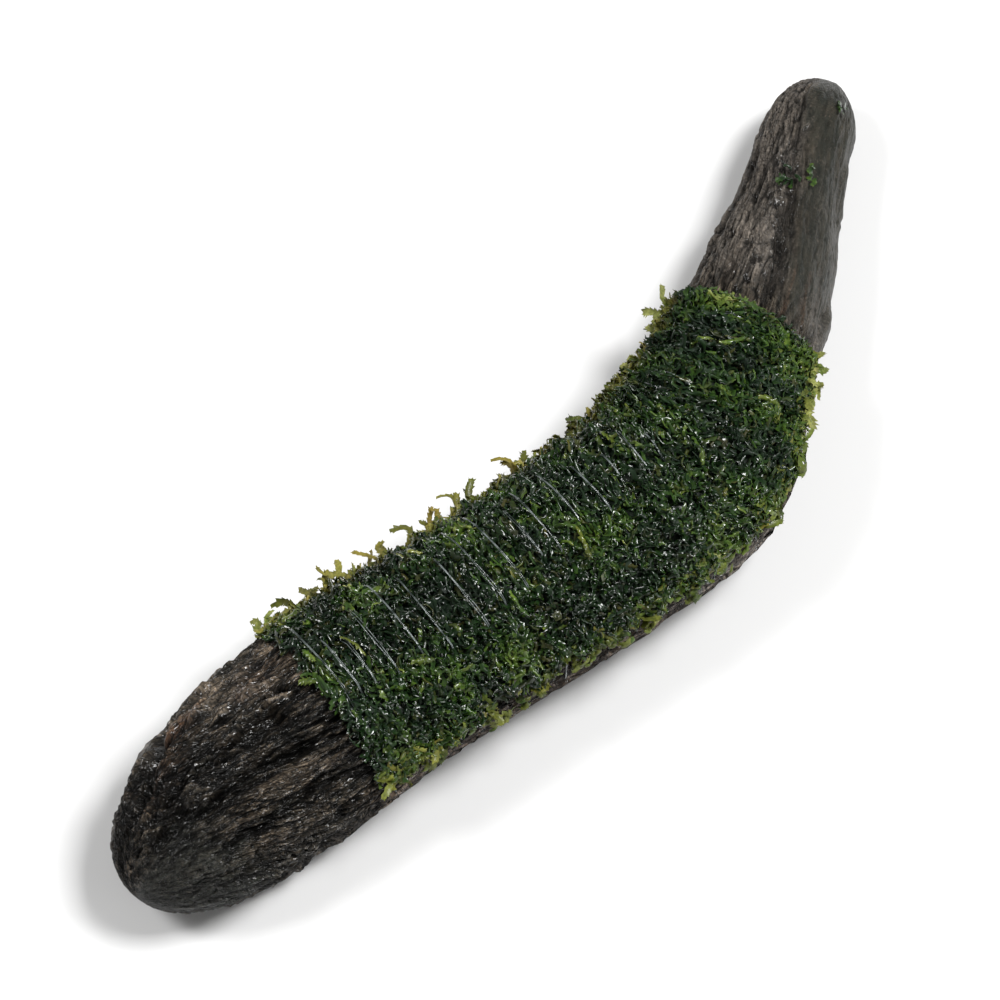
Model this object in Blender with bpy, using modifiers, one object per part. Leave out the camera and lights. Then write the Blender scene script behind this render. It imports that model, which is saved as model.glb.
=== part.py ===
"""Java moss tied on a bent stick of aquarium driftwood, lying as it would on a table.

Metres, +Z up. +X runs from the wood's thick end to its thin tip, +Y to the inside of its bend. The
origin lies on the table, under the middle of the object. Sizes below are in millimetres.

A place on the wood is given by two numbers: x, where the middle of its cross-section is along X,
and an angle round that section in degrees: 0 is the inside of the bend, 90 the top, 180 the
outside and 270 the sole. Moss and thread are laid on the wood's smooth envelope, and all relief is
carved into it. A place on the moss is given by its turn of the thread, counted from the thick end
with a fraction between two turns, and the same angle.
"""

import math

import bmesh
import bpy
from mathutils import Vector, noise

MM = 0.001

# Driftwood, as (x, value) stations along its length
THICK_END_X, THIN_TIP_X = -80.5, 82.0
AXIS_Y = [(-80.5, 11.0), (-70, 11.0), (-60, 10.1), (-46, 6.8), (-24, 0.0), (-2, -6.5), (13, -9.5),
          (24, -7.2), (37, -2.4), (54, 3.8), (70, 10.3), (82, 14.3)]
HALF_WIDTH = [(-80.5, 12.0), (-70, 12.5), (-60, 13.3), (-48, 13.8), (-30, 13.0), (-12, 13.5),
              (8, 13.8), (19, 13.1), (29, 11.0), (40, 10.1), (50, 9.3), (60, 7.8), (70, 6.8),
              (82, 6.0)]
CROWN_Z = [(-80.5, 18.0), (-62, 20.5), (-30, 21.5), (0, 22.0), (20, 21.5), (40, 19.0), (60, 15.5),
           (82, 11.5)]
SOLE_Z = [(-80.5, 0.5), (-68, -0.8), (-53, -0.8), (-47, 1.3), (-38, 1.6), (28, 1.6), (36, 1.4),
          (43, -0.5), (60, -0.8), (74, -0.6), (82, 0.8)]
THICK_END_ROUND, THIN_TIP_ROUND = 17.0, 9.0
SECTION_POWER = 0.88
# The middle of the whole object among the stations, which is moved to the origin
MIDDLE_X, MIDDLE_Y = 0.75, -0.73
WOOD_SEGMENTS = 34
# Stretches of rings, each as how many and the x that it ends at: close at the bare ends and foot
RING_STRETCHES = [(2, -79.7), (2, -77.3), (2, -73.5), (4, -64.0), (9, -46.0), (8, 9.0), (6, 15.6),
                  (4, 36.0), (11, 70.0), (3, 78.0), (2, 81.4), (1, 82.0)]

# Relief on the bare wood
ARC_RADIUS = 12.0
FIBRE_DEPTH, FIBRE_LENGTH, FIBRE_WIDTH = 1.2, 16.0, 3.2
LUMP_HEIGHT, LUMP_SIZE = 1.0, 14.0
BARE_FROM, BARE_TO, COVERED_SHARE = (-54.0, -48.0), (35.0, 43.0), 0.1
# Each groove, pit or ridge as its places (x, angle), its half-width and its height, minus inward
MARKS = [
    ([(-54, 90), (-62, 82), (-71, 72)], 1.4, -2.2),
    ([(-52, 112), (-64, 102), (-75, 86)], 1.5, -2.2),
    ([(-49, 140), (-60, 134), (-70, 132)], 1.5, -1.2),
    ([(-60, 12), (-66, 36), (-73, 50)], 2.4, -2.6),
    ([(-66, 6), (-77, 14)], 3.4, -1.1),
    ([(-71, 47), (-79, 37)], 2.8, -1.9),
    ([(-50, 62), (-58, 60)], 1.3, -0.9),
    ([(-66, 158), (-74, 160)], 1.8, -0.9),
    ([(-56, 190), (-70, 200)], 1.7, -1.2),
    ([(-53, 330), (-70, 325)], 1.8, -1.5),
    ([(76, 74), (64, 88), (50, 98), (38, 106)], 1.5, -0.6),
    ([(66, 172), (60, 176)], 2.2, 0.8),
    ([(42, 182), (36, 186)], 3.2, 1.3),
    ([(41, 166), (35, 168)], 1.3, -0.8),
    ([(64, 32), (44, 26)], 1.6, -0.9),
]
PLATE_EDGE = [(-72, 40), (-64, 50), (-57, 76), (-48, 84)]
PLATE_ENDS, PLATE_HEIGHT, PLATE_SLOPE = (-70.0, -66.0), 1.0, 8.0
# The angles over which the plate fades out on the inside of the bend
PLATE_FADE = (-30.0, 0.0)
# The foot that keeps the bend off the table, a short ridge between two turns of the thread
FOOT_RIDGE, FOOT_HALF_WIDTH, FOOT_HEIGHT = [(10.8, 243), (12.4, 258)], 1.6, 2.8

# Binding thread: where each turn crosses the top, and how far it runs askew round the bend
TURN_X = [-45.0, -43.2, -41.0, -38.0, -34.0, -30.5, -25.2, -21.6, -18.0, -14.0, -11.5, -7.0,
          -3.0, 1.0, 4.6, 7.4, 15.6, 18.8, 23.2, 28.2, 32.6]
TURN_SKEW = [(-50, 0.0), (-3, 0.0), (6, 2.0), (14, 4.5), (22, 4.5), (30, 3.0), (36, 2.5)]
THREAD_DIAMETER, POINTS_PER_TURN, THREAD_LIFT_TOP = 0.25, 13, 2.2
THREAD_LIFT = [(-90, 0.85), (-40, 0.95), (-14, 2.2), (15, 2.4), (50, 2.2), (150, 2.2), (176, 2.0),
               (206, 1.0), (270, 0.85)]
# Each turn starts at TURN_START, and moves on to the next one from UNDERSIDE_FROM
TURN_START, UNDERSIDE_FROM = -20.0, 204.0

# Moss mat: a row along each turn and one between each two, with two more where they lie far apart
MOSS_ROWS = sorted([turn / 2 for turn in range(-2, 43)] + [15.3, 15.7])
# The angles of the mat's two edges, the outer one as (turn of the thread, angle)
MOSS_INNER_EDGE, EDGE_RAGGED = -8.0, 9.0
MOSS_OUTER_EDGE = [(0, 163.0), (14, 163.0), (16, 159.0), (18, 157.0), (20, 160.0)]
MOSS_COLUMNS, RIM_RISE = 14, (-12.0, 20.0)
WOOD_GAP, THREAD_GAP, BULGE, TUFT, FULL_BULGE_PITCH = 0.4, 1.3, 1.7, 2.6, 3.6
# Where the mat bulges less: along its inner rim, and round the outside of the bend
RIM_CALM, RIM_ANGLES = 0.5, (25.0, 70.0)
BEND_CALM, BEND_X, BEND_ANGLES = 0.6, (8.0, 20.0), (60.0, 130.0)
# Fronds that stand out of the mat, as (x, angle, height over the wood)
FRONDS = [(-46, 22, 3.4), (-40, 14, 4.4), (-35, 12, 5.4), (-29, 12, 4.8), (-23, 10, 4.6),
          (-15.6, 10, 4.8), (-6, 10, 4.8), (6, 12, 4.0), (26.5, 20, 3.0), (34, 10, 4.4),
          (28.7, 160, 4.0), (24, 158, 4.2), (18.5, 156, 3.6), (-46, 158, 3.4), (-38, 156, 3.8),
          (-30, 156, 3.8), (-23, 158, 3.6), (-6, 158, 3.8), (-44, 74, 3.8), (-35, 66, 4.0),
          (-10, 110, 3.8), (12, 90, 3.8), (-20, 120, 3.8)]

# Loose scraps of moss on the short arm: place and half-sizes along, across and out
SCRAPS = [((59.5, 90), (2.0, 1.0, 0.7)), ((61.0, 110), (1.5, 1.1, 0.8)), ((74.5, 122), (1.3, 0.6, 0.5))]
SCRAP_SEGMENTS, SCRAP_RINGS, SCRAP_RAGGED = 8, 6, 0.35


def profile(stations, x):
    """The value at x on a smooth curve through the stations."""
    if x <= stations[0][0]:
        return stations[0][1]
    if x >= stations[-1][0]:
        return stations[-1][1]
    i = max(k for k in range(len(stations) - 1) if stations[k][0] <= x)

    def slope(k):
        before, after = stations[max(k - 1, 0)], stations[min(k + 1, len(stations) - 1)]
        return (after[1] - before[1]) / (after[0] - before[0])

    (x0, y0), (x1, y1) = stations[i], stations[i + 1]
    span = x1 - x0
    t = (x - x0) / span
    return (y0 * (1 + 2 * t) * (1 - t) ** 2 + y1 * t * t * (3 - 2 * t)
            + span * (slope(i) * t * (1 - t) ** 2 - slope(i + 1) * t * t * (1 - t)))


def ramp(value, start, end):
    """0 before start, 1 after end, and a smooth rise between them."""
    t = max(0.0, min(1.0, (value - start) / (end - start)))
    return t * t * (3 - 2 * t)


def end_round(x):
    """How much of its full size a section has, falling to nothing at the two rounded ends."""
    size = 1.0
    for gap, reach in ((x - THICK_END_X, THICK_END_ROUND), (THIN_TIP_X - x, THIN_TIP_ROUND)):
        if gap < reach:
            size *= math.sqrt(max(0.0, 1 - (1 - gap / reach) ** 2))
    return size


def eased(value):
    """cos or sin drawn out a little towards the corners of its section."""
    return math.copysign(abs(value) ** SECTION_POWER, value)


def on_wood(x, angle, lift=0.0):
    """The point on the wood's smooth envelope, or lift millimetres outside it, in metres."""
    across = Vector((profile(AXIS_Y, x - 1) - profile(AXIS_Y, x + 1), 2.0)).normalized()
    crown, sole = profile(CROWN_Z, x), profile(SOLE_Z, x)
    size = end_round(x)
    side = eased(math.cos(math.radians(angle))) * (profile(HALF_WIDTH, x) * size + lift)
    rise = eased(math.sin(math.radians(angle))) * ((crown - sole) / 2 * size + lift)
    point = Vector((x + across.x * side, profile(AXIS_Y, x) + across.y * side))
    return Vector((point.x - MIDDLE_X, point.y - MIDDLE_Y, (crown + sole) / 2 + rise)) * MM


def ring_x(number):
    """Where along the wood one of its rings lies."""
    start = THICK_END_X
    for count, end in RING_STRETCHES:
        if number <= count:
            return start + (end - start) * number / count
        start = end
        number -= count
    return THIN_TIP_X


def unrolled(x, angle):
    """A place on the wood as a point on its unrolled surface, in millimetres."""
    return Vector((x, math.radians(angle) * ARC_RADIUS))


def distance_to_line(point, places):
    """How far a point of the unrolled surface lies from a line through places."""
    nearest = 1000.0
    for start, end in zip(places, places[1:]):
        a, b = unrolled(*start), unrolled(*end)
        t = max(0.0, min(1.0, (point - a).dot(b - a) / (b - a).length_squared))
        nearest = min(nearest, (point - a.lerp(b, t)).length)
    return nearest


def relief(x, angle):
    """How far the wood's surface stands out of its envelope at a place, in millimetres."""
    turn = math.radians(angle)
    ring = Vector((math.cos(turn), math.sin(turn))) * ARC_RADIUS
    lumps = noise.noise(Vector((x, ring.x, ring.y)) / LUMP_SIZE) * LUMP_HEIGHT
    fibres = noise.noise(Vector((x / FIBRE_LENGTH, ring.x / FIBRE_WIDTH, ring.y / FIBRE_WIDTH)))
    height = lumps - abs(fibres) * FIBRE_DEPTH
    here = unrolled(x, angle)
    for places, half_width, mark_height in MARKS:
        height += mark_height * math.exp(-(distance_to_line(here, places) / half_width) ** 2)
    turned = (angle + 90) % 360 - 90
    plate = 1 - ramp(turned, profile(PLATE_EDGE, x) - PLATE_SLOPE, profile(PLATE_EDGE, x))
    plate *= ramp(turned, *PLATE_FADE) * ramp(x, *PLATE_ENDS) * (1 - ramp(x, *BARE_FROM))
    height += PLATE_HEIGHT * plate
    bare = 1 - ramp(x, *BARE_FROM) + ramp(x, *BARE_TO)
    height *= COVERED_SHARE + (1 - COVERED_SHARE) * bare
    return height + foot(x, angle)


def foot(x, angle):
    """The knob under the bend that the wood stands on."""
    away = distance_to_line(unrolled(x, angle), FOOT_RIDGE) / FOOT_HALF_WIDTH
    return FOOT_HEIGHT * math.exp(-away ** 4)


def weave_x(turn, angle):
    """Where along the wood a turn of the thread lies at an angle."""
    x = profile(list(enumerate(TURN_X)), turn)
    x += min(0.0, turn) * (TURN_X[1] - TURN_X[0])
    x += max(0.0, turn - len(TURN_X) + 1) * (TURN_X[-1] - TURN_X[-2])
    return x + profile(TURN_SKEW, x) * math.cos(math.radians(angle))


def make_material(name, color, roughness, transmission=0.0):
    material = bpy.data.materials.new(name)
    material.use_nodes = True
    shader = material.node_tree.nodes["Principled BSDF"]
    shader.inputs["Base Color"].default_value = (*color, 1.0)
    shader.inputs["Roughness"].default_value = roughness
    shader.inputs["Transmission Weight"].default_value = transmission
    return material


def make_object(name, mesh, material, collection):
    obj = bpy.data.objects.new(name, mesh)
    mesh.materials.clear()
    mesh.materials.append(material)
    collection.objects.link(obj)
    return obj


def make_driftwood(material, collection):
    """A sphere whose poles become the wood's two ends, worn flat where it touches the table."""
    rings = sum(count for count, _ in RING_STRETCHES)
    bm = bmesh.new()
    bmesh.ops.create_uvsphere(bm, u_segments=WOOD_SEGMENTS, v_segments=rings, radius=1)
    for v in bm.verts:
        x = ring_x(round(math.acos(max(-1.0, min(1.0, -v.co.z))) / math.pi * rings))
        angle = math.degrees(math.atan2(v.co.y, v.co.x)) % 360
        v.co = on_wood(x, angle, relief(x, angle) * end_round(x))
        v.co.z = max(v.co.z, 0.0)
    mesh = bpy.data.meshes.new("driftwood")
    bm.to_mesh(mesh)
    bm.free()
    return make_object("driftwood", mesh, material, collection)


def thread_place(turn, angle):
    """A point on the thread's route: straight over the moss, moving on along the underside."""
    turn += ramp(angle, UNDERSIDE_FROM, TURN_START + 360)
    return on_wood(weave_x(turn, angle), angle, profile(THREAD_LIFT, (angle + 90) % 360 - 90))


def make_thread(material, collection):
    """One thread wound tight round wood and moss, as a curve with capped ends."""
    curve = bpy.data.curves.new("binding_thread", "CURVE")
    curve.dimensions = "3D"
    curve.bevel_depth = THREAD_DIAMETER / 2 * MM
    curve.bevel_resolution = 1
    curve.use_fill_caps = True
    spline = curve.splines.new("POLY")
    steps = len(TURN_X) * POINTS_PER_TURN
    spline.points.add(steps - 1)
    for i, point in enumerate(spline.points):
        turn, step = divmod(i, POINTS_PER_TURN)
        angle = TURN_START + 360 * step / POINTS_PER_TURN
        point.co = (*thread_place(turn, angle), 1.0)
    obj = bpy.data.objects.new("binding_thread", curve)
    curve.materials.append(material)
    collection.objects.link(obj)
    return obj


def moss_height(turn, angle):
    """How high the mat stands over the wood: low under each turn, bulging between two."""
    x = weave_x(turn, angle)
    held = min(profile(THREAD_LIFT, angle), THREAD_LIFT_TOP) - THREAD_GAP
    to_rim = min(angle - moss_edge(turn, 0), moss_edge(turn, 1) - angle)
    free = math.sin(math.pi * turn) ** 2 * ramp(to_rim, *RIM_RISE)
    free *= 1 - RIM_CALM * (1 - ramp(angle, *RIM_ANGLES))
    free *= 1 - BEND_CALM * ramp(x, *BEND_X) * ramp(angle, *BEND_ANGLES)
    before, after = [on_wood(weave_x(math.floor(turn) + step, angle), angle) for step in (0, 1)]
    room = (after - before).length / (FULL_BULGE_PITCH * MM)
    tuft = TUFT * noise.noise(Vector((x, angle / 5, 7.0)))
    return held + free * (BULGE + tuft) * min(1.0, room) ** 2


def moss_edge(turn, side):
    """The ragged angle at which the mat ends, on the inside (0) or the outside (1) of the bend."""
    middle = (MOSS_INNER_EDGE, profile(MOSS_OUTER_EDGE, turn))[side]
    return middle + EDGE_RAGGED * noise.noise(Vector((turn * 0.83, 11.0 * side, 2.0)))


def make_moss(material, collection):
    """A grid laid on the wood and thickened outward, row by row between the turns of thread."""
    bm = bmesh.new()
    strips = len(MOSS_ROWS) - 1
    bmesh.ops.create_grid(bm, x_segments=strips, y_segments=MOSS_COLUMNS, size=0.5)
    heights, places = [], []
    for v in bm.verts:
        turn = MOSS_ROWS[round((v.co.x + 0.5) * strips)]
        inner, outer = moss_edge(turn, 0), moss_edge(turn, 1)
        angle = outer + (v.co.y + 0.5) * (inner - outer)
        x = weave_x(turn, angle)
        v.co = on_wood(x, angle, WOOD_GAP)
        places.append((x, angle, turn))
        heights.append(moss_height(turn, angle) - WOOD_GAP)
    for x, angle, height in FRONDS:
        tops = [i for i, (_, _, turn) in enumerate(places) if turn % 1 > 0.1]
        top = min(tops, key=lambda i: (unrolled(*places[i][:2]) - unrolled(x, angle)).length)
        heights[top] = height - WOOD_GAP
    mesh = bpy.data.meshes.new("moss_mat")
    bm.to_mesh(mesh)
    bm.free()
    obj = make_object("moss_mat", mesh, material, collection)
    tallest = max(heights)
    group = obj.vertex_groups.new(name="height")
    for i, height in enumerate(heights):
        group.add([i], height / tallest, "REPLACE")
    shell = obj.modifiers.new("thickness", "SOLIDIFY")
    shell.thickness = tallest * MM
    shell.offset = 1.0
    shell.vertex_group = group.name
    return obj


def make_scrap(number, place, half_sizes, material, collection):
    """A small ragged clump, flat on the bare wood."""
    bm = bmesh.new()
    bmesh.ops.create_uvsphere(bm, u_segments=SCRAP_SEGMENTS, v_segments=SCRAP_RINGS, radius=1)
    along, across, out = half_sizes
    ground = relief(*place) + WOOD_GAP
    for v in bm.verts:
        ragged = 1 - SCRAP_RAGGED * (0.5 + noise.noise(v.co * 2 + Vector((9.0 * number, 0, 0))))
        x = place[0] + v.co.x * along * ragged
        angle = place[1] - math.degrees(v.co.y * across * ragged / ARC_RADIUS)
        v.co = on_wood(x, angle, max(ground, relief(x, angle) + WOOD_GAP) + (v.co.z + 1) * out)
    name = f"moss_scrap_{number}"
    mesh = bpy.data.meshes.new(name)
    bm.to_mesh(mesh)
    bm.free()
    return make_object(name, mesh, material, collection)


def build():
    for old in list(bpy.data.objects):
        bpy.data.objects.remove(old)
    collection = bpy.data.collections.new("moss_on_driftwood")
    bpy.context.scene.collection.children.link(collection)
    wood = make_material("wet_driftwood", (0.045, 0.032, 0.026), 0.45)
    moss = make_material("moss", (0.02, 0.05, 0.012), 0.5)
    nylon = make_material("clear_nylon", (0.8, 0.83, 0.8), 0.15, 0.6)
    make_driftwood(wood, collection)
    make_moss(moss, collection)
    make_thread(nylon, collection)
    for number, (place, half_sizes) in enumerate(SCRAPS, 1):
        make_scrap(number, place, half_sizes, moss, collection)


build()
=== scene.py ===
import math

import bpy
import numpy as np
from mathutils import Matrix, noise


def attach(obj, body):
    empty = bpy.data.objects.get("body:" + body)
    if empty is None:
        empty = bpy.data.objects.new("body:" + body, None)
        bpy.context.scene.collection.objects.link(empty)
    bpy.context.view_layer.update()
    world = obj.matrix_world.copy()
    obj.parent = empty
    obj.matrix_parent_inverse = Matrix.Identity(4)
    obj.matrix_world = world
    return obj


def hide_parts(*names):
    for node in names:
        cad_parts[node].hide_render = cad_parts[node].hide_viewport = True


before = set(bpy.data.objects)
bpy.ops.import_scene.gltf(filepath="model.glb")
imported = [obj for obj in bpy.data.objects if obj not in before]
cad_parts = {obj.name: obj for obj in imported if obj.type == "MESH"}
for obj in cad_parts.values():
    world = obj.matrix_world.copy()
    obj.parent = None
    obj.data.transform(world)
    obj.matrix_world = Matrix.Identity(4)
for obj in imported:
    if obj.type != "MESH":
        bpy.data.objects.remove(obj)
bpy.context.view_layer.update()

# Looks for the moss on driftwood. Every piece lies in the frame of the CAD: sizes below are in
# millimetres, and the forms repeat the named values of the CAD source. A place on the wood is (x,
# angle): x along the stick, and degrees round its section, with 0 the inside of the bend, 90 the
# top, 180 the outside and 270 the sole.

MM = 0.001
SEED = 11

# The wood and thread as the CAD has them
THICK_END_X, THIN_TIP_X = -80.5, 82
AXIS_Y = [(-80.5, 11), (-70, 11), (-60, 10.1), (-46, 6.8), (-24, 0), (-2, -6.5), (13, -9.5),
          (24, -7.2), (37, -2.4), (54, 3.8), (70, 10.3), (82, 14.3)]
HALF_WIDTH = [(-80.5, 12), (-70, 12.5), (-60, 13.3), (-48, 13.8), (-30, 13), (-12, 13.5),
              (8, 13.8), (19, 13.1), (29, 11), (40, 10.1), (50, 9.3), (60, 7.8), (70, 6.8),
              (82, 6)]
CROWN_Z = [(-80.5, 18), (-62, 20.5), (-30, 21.5), (0, 22), (20, 21.5), (40, 19), (60, 15.5),
           (82, 11.5)]
SOLE_Z = [(-80.5, 0.5), (-68, -0.8), (-53, -0.8), (-47, 1.3), (-38, 1.6), (28, 1.6), (36, 1.4),
          (43, -0.5), (60, -0.8), (74, -0.6), (82, 0.8)]
THICK_END_ROUND, THIN_TIP_ROUND = 17, 9
SECTION_POWER = 0.88
MIDDLE_X, MIDDLE_Y = 0.75, -0.73
ARC_RADIUS = 12
FIBRE_DEPTH, FIBRE_LENGTH, FIBRE_WIDTH = 1.2, 16, 3.2
LUMP_HEIGHT, LUMP_SIZE = 1, 14
BARE_FROM, BARE_TO, COVERED_SHARE = (-54, -48), (35, 43), 0.1
MARKS = [
    ([(-54, 90), (-62, 82), (-71, 72)], 1.4, -2.2),
    ([(-52, 112), (-64, 102), (-75, 86)], 1.5, -2.2),
    ([(-49, 140), (-60, 134), (-70, 132)], 1.5, -1.2),
    ([(-60, 12), (-66, 36), (-73, 50)], 2.4, -2.6),
    ([(-66, 6), (-77, 14)], 3.4, -1.1),
    ([(-71, 47), (-79, 37)], 2.8, -1.9),
    ([(-50, 62), (-58, 60)], 1.3, -0.9),
    ([(-66, 158), (-74, 160)], 1.8, -0.9),
    ([(-56, 190), (-70, 200)], 1.7, -1.2),
    ([(-53, 330), (-70, 325)], 1.8, -1.5),
    ([(76, 74), (64, 88), (50, 98), (38, 106)], 1.5, -0.6),
    ([(66, 172), (60, 176)], 2.2, 0.8),
    ([(42, 182), (36, 186)], 3.2, 1.3),
    ([(41, 166), (35, 168)], 1.3, -0.8),
    ([(64, 32), (44, 26)], 1.6, -0.9),
]
PLATE_EDGE = [(-72, 40), (-64, 50), (-57, 76), (-48, 84)]
PLATE_ENDS, PLATE_HEIGHT, PLATE_SLOPE = (-70, -66), 1, 8
FOOT_RIDGE, FOOT_HALF_WIDTH, FOOT_HEIGHT = [(10.8, 243), (12.4, 258)], 1.6, 2.8
TURN_X = [-45, -43.2, -41, -38, -34, -30.5, -25.2, -21.6, -18, -14, -11.5, -7,
          -3, 1, 4.6, 7.4, 15.6, 18.8, 23.2, 28.2, 32.6]
TURN_SKEW = [(-50, 0), (-3, 0), (6, 2), (14, 4.5), (22, 4.5), (30, 3), (36, 2.5)]
THREAD_LIFT = [(-90, 0.85), (-40, 0.95), (-14, 2.2), (15, 2.4), (50, 2.2), (150, 2.2), (176, 2),
               (206, 1), (270, 0.85)]
TURN_START, UNDERSIDE_FROM = -20, 204
# The angles of the mat's two edges, the outer one as (turn of the thread, angle)
MOSS_INNER_EDGE, EDGE_RAGGED = -8, 9
MOSS_OUTER_EDGE = [(0, 163), (14, 163), (16, 159), (18, 157), (20, 160)]
# Scraps of moss on the short arm: place, size along, across and out of the wood, and tone
SCRAPS = [((59.5, 90), (2, 1, 0.7), 0.32), ((61, 110), (1.5, 1.1, 0.8), 0.52),
          ((74.5, 122), (1.3, 0.6, 0.5), 0.38)]

# Camera, at the photograph's viewing angle
CAMERA_AIM, CAMERA_DISTANCE = (-0.00575, 0.00973, 0.01), 0.55
CAMERA_AZIMUTH, CAMERA_ELEVATION = -53, 60
LENS, SENSOR = 144.54, 36
# Square soft lights: name, azimuth, elevation, size in metres and power
LIGHTS = [("key_softbox", 40, 62, 0.3, 11), ("side_softbox", -140, 55, 0.24, 5),
          ("low_fill", 10, 16, 0.5, 2.2)]
LIGHT_DISTANCE, SKY_COLOUR, SKY_STRENGTH = 0.9, (1, 0.99, 0.97, 1), 0.24
FLOOR_SIZE, FLOOR_Z, FLOOR_COLOUR, FLOOR_ROUGHNESS = 6, -0.0001, (0.62, 0.62, 0.62, 1), 0.7

# Fine wood: the rings on its two round ends, how far apart they lie between, where the moss
# covers them, and the points round each ring above and below
END_RINGS, RING_STEPS, COVERED_RINGS = (60, 32), (0.42, 1.7, 0.45), (-44, 32)
POINTS_ABOVE, POINTS_BELOW, ABOVE_TO = 290, 64, 210
RAGGED_ALONG, RAGGED_AROUND = 1.4, 0.8
GRAIN_TURN = [(-80, -40), (-50, 0), (35, 0), (82, -42)]
CREASE = [(33, 110), (50, 98), (64, 88), (76, 70)]

# Where the wood is rusty, pale, black and wet, and where light is painted on it: how much, along which
# line, within which half width
# Painted light: the first rust row is a warm reflection painted on the bare band under the outer rim; the
# other rows are rust.
RUST_AND_REFLECTION_AT = [(0.35, [(-44, 186), (-4, 186)], 4.5), (0.7, [(-65, 46), (-61, 50)], 1.5),
           (0.35, [(-72, 60), (-66, 66)], 2.2), (0.25, [(-54, 66), (-48, 60)], 2),
           (0.5, [(46, 116), (36, 118)], 0.4), (0.6, [(45, 132), (37, 136)], 0.4),
           (0.35, [(48, 146), (40, 150)], 0.5)]
# Painted light: the pale rows paint a reflection along the short arm's outer edge, then light on the bare
# band under the outer rim, where shade falls.
PALE_AND_LIT_AT = [(0.8, [(68, 158), (60, 162), (48, 170), (38, 172)], 2),
           (0.6, [(-40, 188), (34, 186)], 4), (0.8, [(0, 196), (14, 192), (24, 178)], 5)]
PALE_STREAKS_AT = [(1, [(60, 146), (46, 154), (36, 156)], 5)]
BLACK_AT = [(0.5, [(-52, 178), (-70, 176)], 4)]
WET_AT = [(1, [(-49, 94), (-62, 90)], 3), (1, [(-50, 106), (-64, 98)], 4),
          (0.6, [(-50, 130), (-60, 124)], 4), (0.6, [(-64, 30), (-72, 44)], 2),
          (0.7, [(66, 82), (56, 88), (46, 94), (40, 92)], 2.5)]
# Colours of the wood, from dark to light where there are two; grit multiplies the others
BROWN = (0.02, 0.019, 0.0148), (0.18, 0.137, 0.096)
# Painted light: the greyed colour also paints the light of the pale rows, and the rusty colour the warm
# reflection of the first rust row.
GREYED_AND_LIT = (0.04, 0.035, 0.03), (0.3, 0.266, 0.232)
RUSTY_AND_REFLECTION = (0.035, 0.015, 0.007), (0.15, 0.066, 0.03)
GRIT = (0.22, 0.22, 0.23), (1.95, 1.92, 1.88)
# Painted light: the ridge top colour is painted on the tops of the fibres, away from the lines.
LIT_RIDGE_TOP, SPECK, BLACKENED = (0.162, 0.128, 0.094), (0.13, 0.105, 0.085), (0.01, 0.012, 0.01)
# Painted shade: the worn colour also darkens the deep grooves, and the crack colour paints shade in the
# thin cracks along the grain, which are partly dark with water too.
WORN_AND_SHADE, SHADED_CRACK = (0.018, 0.02, 0.0165), (0.003, 0.0026, 0.0022)
# Painted shade: the fibre line colour darkens the creases between fibres, which are partly dark with
# water too, and the hollow colour darkens the low places of the relief.
SHADED_FIBRE_LINE, SHADED_HOLLOW = (0.003, 0.0028, 0.0024), (0.0022, 0.002, 0.0018)

# How high the thread lies at each angle, tight over the moss and down onto the bare wood
THREAD_ROUTE = [(-90, 0), (-30, 0.1), (-12, 1.4), (10, 2.2), (50, 2.2), (120, 2.15), (145, 1.4),
                (155, 0.8), (165, 0.2), (172, 0), (270, 0)]
# The angles between which each turn lies on top of the moss; elsewhere it is sunk in
THREAD_SHOWS = [(58, 100), (78, 100), (85, 102), (72, 105), (58, 102), (68, 110), (72, 112),
                (52, 102), (52, 102), (70, 95), (60, 95), (58, 88), (70, 92), (76, 84), (70, 88),
                (80, 84), (56, 65), (65, 78), (30, 52), (62, 68), (84, 88)]
THREAD_SUNK, SHOWS_FADE = 1.5, 8
STEPS_PER_TURN, STEPS_LEFT_OFF = 72, 10
# The thread lies double, as two fine filaments that come apart here and there
FILAMENT_DIAMETER, FILAMENT_SIDES = 0.115, 6
FILAMENTS_APART, FILAMENTS_PART_BY = 0.11, 0.26
# Moss
FROND_COUNT, FROND_NODES = 13500, 7
FROND_LENGTH, FROND_HALF_WIDTH = (1, 2.4), (0.24, 0.5)
RIM_FROND_COUNT, SCRAP_FRONDS, FELT_GRID = 700, 9, (150, 60)
FRONDS_PER_PIECE = 3600
STANDING_NODES, LOBE_NOTCH, LOBE_FRONDS = 16, (0.4, 0.75), 7
FROND_WAVE, FROND_TWIST = 0.16, 1.6
MAT_HELD, MAT_BULGE, MAT_TUFT, FULL_BULGE_PITCH = 0.35, 0.85, 1.5, 3.6
# How much higher the leaves stand round the bend, where they hide the thread
MAT_BURIES = 0.5
# How much lower the mat lies along its inner rim, as (x, millimetres), and outside the bend
RIM_PRESSED = [(-48, 0.8), (-35, 1.3), (-22, 1.8), (-6, 1.9), (8, 1.2), (20, 0.8), (28, 1.4), (36, 1.8)]
BEND_PRESSED, BEND_SMOOTH = 1.5, 0.6
# How far past the first and last turn of the thread the felt reaches, in turns
FELT_FROM, FELT_TO = -0.9, 20.9
# Leaf colours from the dark mass to the palest tips, as (brightness, red, green, blue)
GREENS = np.array([(0, 0.002, 0.006, 0.002), (0.3, 0.007, 0.022, 0.004), (0.5, 0.03, 0.066, 0.008),
                   (0.7, 0.075, 0.125, 0.014), (0.85, 0.16, 0.2, 0.045), (1, 0.29, 0.31, 0.1)])
OCHRE = np.array((0.27, 0.2, 0.04))
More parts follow.
